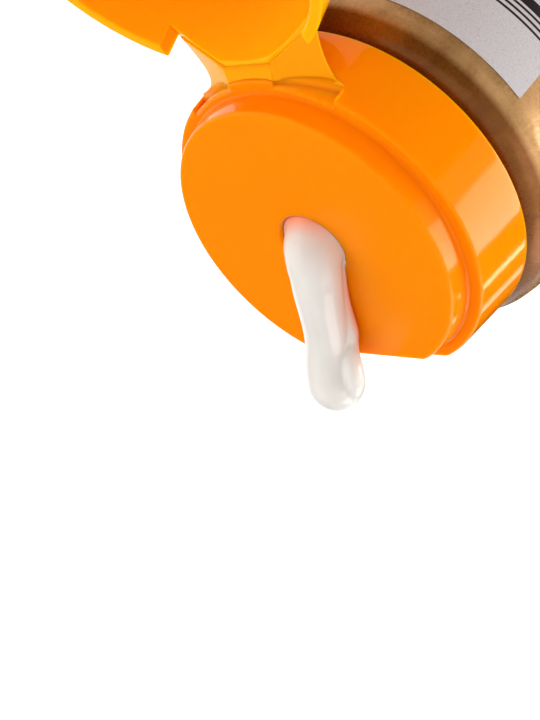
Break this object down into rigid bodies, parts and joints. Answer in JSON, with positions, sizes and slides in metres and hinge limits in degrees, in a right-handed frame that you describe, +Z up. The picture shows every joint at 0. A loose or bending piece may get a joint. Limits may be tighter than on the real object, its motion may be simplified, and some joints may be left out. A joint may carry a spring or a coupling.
{
  "type": "flip-top lotion bottle",
  "caption": "Round lotion bottle with a push-fit flip-top closure, its butterfly-hinged lid open, and lotion running out of the orifice over the thumb flat.",
  "frame": {"origin": "centre of the bottle's flat base", "axes": "+Z up the bottle's axis to the closure, +Y to the back where the lid is hinged, -Y to the thumb flat, +X to the right seen from the front"},
  "size_m": [0.0382, 0.0707, 0.1508],
  "materials": {
    "pearl_plastic": "pearly satin, blow-moulded",
    "orange_plastic": "glossy, injection-moulded",
    "label_film": "matte printed film",
    "lotion": "wet white cream"
  },
  "bodies": {
    "bottle": {"bottle_body": "pearl_plastic", "cap_base": "orange_plastic", "hinge_film": "orange_plastic", "hinge_panel_left": "orange_plastic", "hinge_panel_right": "orange_plastic", "back_label": "label_film", "front_label": "label_film", "lotion_fill": "lotion", "lotion_stream": "lotion"},
    "lid": {"lid_shell": "orange_plastic", "lid_plug": "orange_plastic"}
  },
  "joints": [
    {"name": "lid_hinge", "type": "hinge", "parent": "bottle", "child": "lid", "pos_m": [0, 0.017, 0.1412], "axis": [1, 0, 0], "range_deg": [0, 165.5], "deforming": ["hinge_film", "hinge_panel_left", "hinge_panel_right", "lotion_stream"]}
  ]
}
